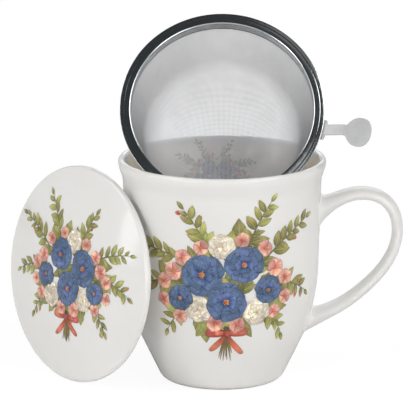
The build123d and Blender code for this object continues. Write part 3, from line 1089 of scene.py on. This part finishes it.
inkColours = {
    # name, colours at a shape's heel, middle and tip, its outline, and how strong its veins are
    "twig": ("twigBrown", (0.14, 0.08, 0.035), (0.24, 0.16, 0.06), (0.30, 0.24, 0.09), (0.06, 0.035, 0.02)),
    "leaf": ("leafOlive", (0.15, 0.16, 0.04), (0.31, 0.30, 0.08), (0.53, 0.48, 0.18), (0.1, 0.1, 0.03), 0.5),
    "broadLeaf": (
        "leafMoss", (0.08, 0.10, 0.03), (0.22, 0.23, 0.06), (0.44, 0.40, 0.14), (0.06, 0.07, 0.02), 0.6),
    "bluetPetal": (
        "bluetNavy", (0.012, 0.018, 0.05), (0.045, 0.09, 0.22), (0.15, 0.23, 0.40), (0.01, 0.018, 0.055)),
    "rosePetal": ("roseCream", (0.52, 0.34, 0.17), (0.8, 0.7, 0.53), (0.88, 0.83, 0.72), (0.48, 0.33, 0.20)),
    "blossomPetal": (
        "blossomCoral", (0.48, 0.08, 0.055), (0.76, 0.33, 0.25), (0.88, 0.56, 0.46), (0.46, 0.13, 0.10)),
    "ribbon": ("ribbonRed", (0.22, 0.03, 0.02), (0.56, 0.09, 0.055), (0.70, 0.20, 0.13), (0.18, 0.03, 0.02)),
    "bud": ("budRed", (0.30, 0.16, 0.06), (0.62, 0.09, 0.04), (0.80, 0.26, 0.15), (0.30, 0.04, 0.03)),
    "heart": ("heartGold", (0.42, 0.06, 0.03), (0.62, 0.22, 0.05), (0.75, 0.42, 0.10), (0.25, 0.06, 0.03)),
}
inks = {kind: printInk(*colours) for kind, colours in inkColours.items()}


def stackCuts(cuts):
    # the level of each shape: one over the highest that it overlaps
    laid = []
    for cut in cuts:
        below = [level for other, level in laid
                 if (cut.middle - other.middle).length < posy["overlap"] * (cut.reach + other.reach)]
        laid.append((cut, max(below) + 1 if below else 0))
    return laid


prints = {
    # middle, mm, scale, and whether the print is mirrored
    "mugPrint": ((1.5, 52.0), 1.0, False),
    "insidePrint": ((-3.0, 84.0), 0.42, True),
    "lidPrint": ((0.0, -1.0), 0.86, True),
}
wrapRadius = 43.8 * mm


def onMug(x, y, lift):
    turn, radius = x / wrapRadius, readOff(mugOutside, y) + lift
    return Vector((radius * math.sin(turn), -radius * math.cos(turn), y))


def insideMug(x, y, lift):
    turn, radius = x / wrapRadius, readOff(mugInside, y) - lift
    return Vector((radius * math.sin(turn), radius * math.cos(turn), y))


lidTop = sorted((radius, height) for height, radius in turnedProfile(
    "lid", lidCentre, lidOut, lambda along, out: along > 0.8))


def onLid(x, y, lift):
    return lidCentre + lidAcross * x + lidUp * y + lidOut * (readOff(lidTop, math.hypot(x, y)) + lift)


def layPrint(name, seed, wrap, body):
    # wrap(x, y, lift) gives the point over the glaze for a point of the flat print
    (middleX, middleY), scale, mirror = prints[name]
    laid = stackCuts(cutPosy(scale, mirror, seed))
    bm = bmesh.new()
    uvLayer = bm.loops.layers.uv.new("petal")
    tintLayer = bm.verts.layers.float.new("tint")
    kinds = list(inks)
    for cut, level in laid:
        rows = max(6, math.ceil(cut.length / posy["grain"]))
        columns = 2 * max(1, math.ceil(cut.width / posy["grain"] / 2))
        grid = bmesh.ops.create_grid(bm, x_segments=columns, y_segments=rows, size=1)["verts"]
        flat = {vert: (vert.co.x, (1 - math.cos(math.pi * (vert.co.y + 1) / 2)) / 2) for vert in grid}
        for face in {face for vert in grid for face in vert.link_faces}:
            face.material_index = kinds.index(cut.kind)
            for loop in face.loops:
                side, along = flat[loop.vert]
                loop[uvLayer].uv = ((side + 1) / 2, along)
        for vert, (side, along) in flat.items():
            spot = cut.at(side, along)
            lift = (posy["lift"] + posy["step"] * level) * mm
            vert.co = wrap((spot.x + middleX) * mm, (spot.y + middleY) * mm, lift)
            vert[tintLayer] = cut.tint
        bmesh.ops.remove_doubles(bm, verts=grid, dist=0.001 * mm)
    piece = finishMesh(name, bm, inks[kinds[0]], body)
    for kind in kinds[1:]:
        piece.data.materials.append(inks[kind])
    solidify(piece, posy["thickness"], -1.0)
    print(name, len(laid), "shapes,", max(level for _, level in laid), "levels")


layPrint("mugPrint", posy["seed"], onMug, "mug")
layPrint("insidePrint", posy["seed"] + 1, insideMug, "mug")
layPrint("lidPrint", posy["seed"] + 2, onLid, "lid")
print("posies printed")


# floor, light and camera

studio = {
    "floorHalf": 6.0,
    "floorColours": ((0.90, 0.90, 0.89), (0.92, 0.92, 0.915)),
    "paperScale": 300.0,
    "floorGlow": 1.06,
    "floorWhiteness": 0.86,
    "worldLevel": 0.14,
    "reflectedHeight": (0.25, 0.65),  # what the glaze and the steel mirror darkens upwards between these
    "reflectedLevel": (0.8, 0.05),
    "reflectedTint": (0.88, 0.96, 1.0),
    "distance": 2.5,
    "elevation": math.radians(13.7489),
    "target": Vector((0, 0, 50 * mm)),
    "aim": Vector((-6.4 * mm, 0, 78.6 * mm)),
    "lens": 475.46,
}


def directView(tree):
    # one for what the camera sees itself or through a pane
    seen = addNode(tree, "ShaderNodeLightPath").outputs
    return calc(tree, "MAXIMUM", seen["Is Camera Ray"], seen["Is Transmission Ray"])


def makeFloor():
    bm = bmesh.new()
    bmesh.ops.create_grid(bm, x_segments=1, y_segments=1, size=studio["floorHalf"])
    material, tree, shader = newMaterial("floorPaint", Roughness=0.8)
    paper = noise(tree, objectPlace(tree), studio["paperScale"], 2.0)
    tree.links.new(mixColour(tree, paper, *studio["floorColours"]), shader.inputs["Base Color"])
    glow = addNode(tree, "ShaderNodeEmission", {"Strength": studio["floorGlow"]})
    sight = calc(tree, "MULTIPLY", directView(tree), studio["floorWhiteness"])
    both = addNode(tree, "ShaderNodeMixShader", {0: sight, 1: shader.outputs[0], 2: glow.outputs[0]})
    tree.links.new(both.outputs[0], tree.nodes["Material Output"].inputs["Surface"])
    floor = meshObject("floor", bm, material)


softboxes = {
    # azimuth from straight in front towards +X, elevation, distance, (width, height), radiance
    "frontLeft": (-42, 13, 1.6, (0.64, 0.70), 4.5),
    "frontRight": (29, 13, 1.6, (0.64, 0.70), 3.8),
    "slimLeft": (-83, 7, 1.5, (0.12, 0.37), 3.0),
    "topLeft": (-75, 45, 1.5, (0.8, 0.8), 3.5),
    "topRight": (60, 45, 1.5, (0.8, 0.8), 4.8),
    "cardRight": (12, 46.5, 1.5, (0.26, 0.24), 0.55),
    "cardHigh": (24, 66, 1.5, (0.26, 0.26), 0.16),
    "back": (180, 30, 1.6, (1.2, 0.8), 1.6),
}


def softbox(name, azimuth, elevation, distance, size, radiance):
    lamp = bpy.data.lights.new(name, "AREA")
    lamp.shape = "RECTANGLE"
    lamp.size, lamp.size_y = size
    lamp.energy = radiance * math.pi * size[0] * size[1]
    holder = putIn(name, lamp)
    away = direction(math.radians(azimuth), math.radians(elevation))
    holder.location = studio["target"] + away * distance
    holder.rotation_euler = (-away).to_track_quat("-Z", "Y").to_euler()


def makeWorld():
    world = bpy.data.worlds.new("studio")
    bpy.context.scene.world = world
    world.use_nodes = True
    tree = world.node_tree
    background = tree.nodes["Background"]
    mirrored = addNode(tree, "ShaderNodeLightPath").outputs["Is Glossy Ray"]
    way = splitUp(tree, addNode(tree, "ShaderNodeTexCoord").outputs["Generated"])
    ceiling = remap(tree, way["Z"], studio["reflectedHeight"], studio["reflectedLevel"])
    level = mixValue(tree, mirrored, studio["worldLevel"], ceiling)
    tree.links.new(mixValue(tree, directView(tree), level, 1.0), background.inputs["Strength"])
    tint = mixColour(tree, mirrored, (1.0, 1.0, 1.0), studio["reflectedTint"])
    tree.links.new(tint, background.inputs["Color"])


def makeCamera():
    camera = putIn("camera", bpy.data.cameras.new("camera"))
    camera.location = studio["target"] + direction(0, studio["elevation"]) * studio["distance"]
    camera.rotation_euler = (studio["aim"] - camera.location).to_track_quat("-Z", "Y").to_euler()
    camera.data.lens = studio["lens"]
    bpy.context.scene.camera = camera


makeFloor()
makeWorld()
for name, settings in softboxes.items():
    softbox(name, *settings)
makeCamera()
bpy.context.scene.view_settings.view_transform = "Standard"
print("studio lit")
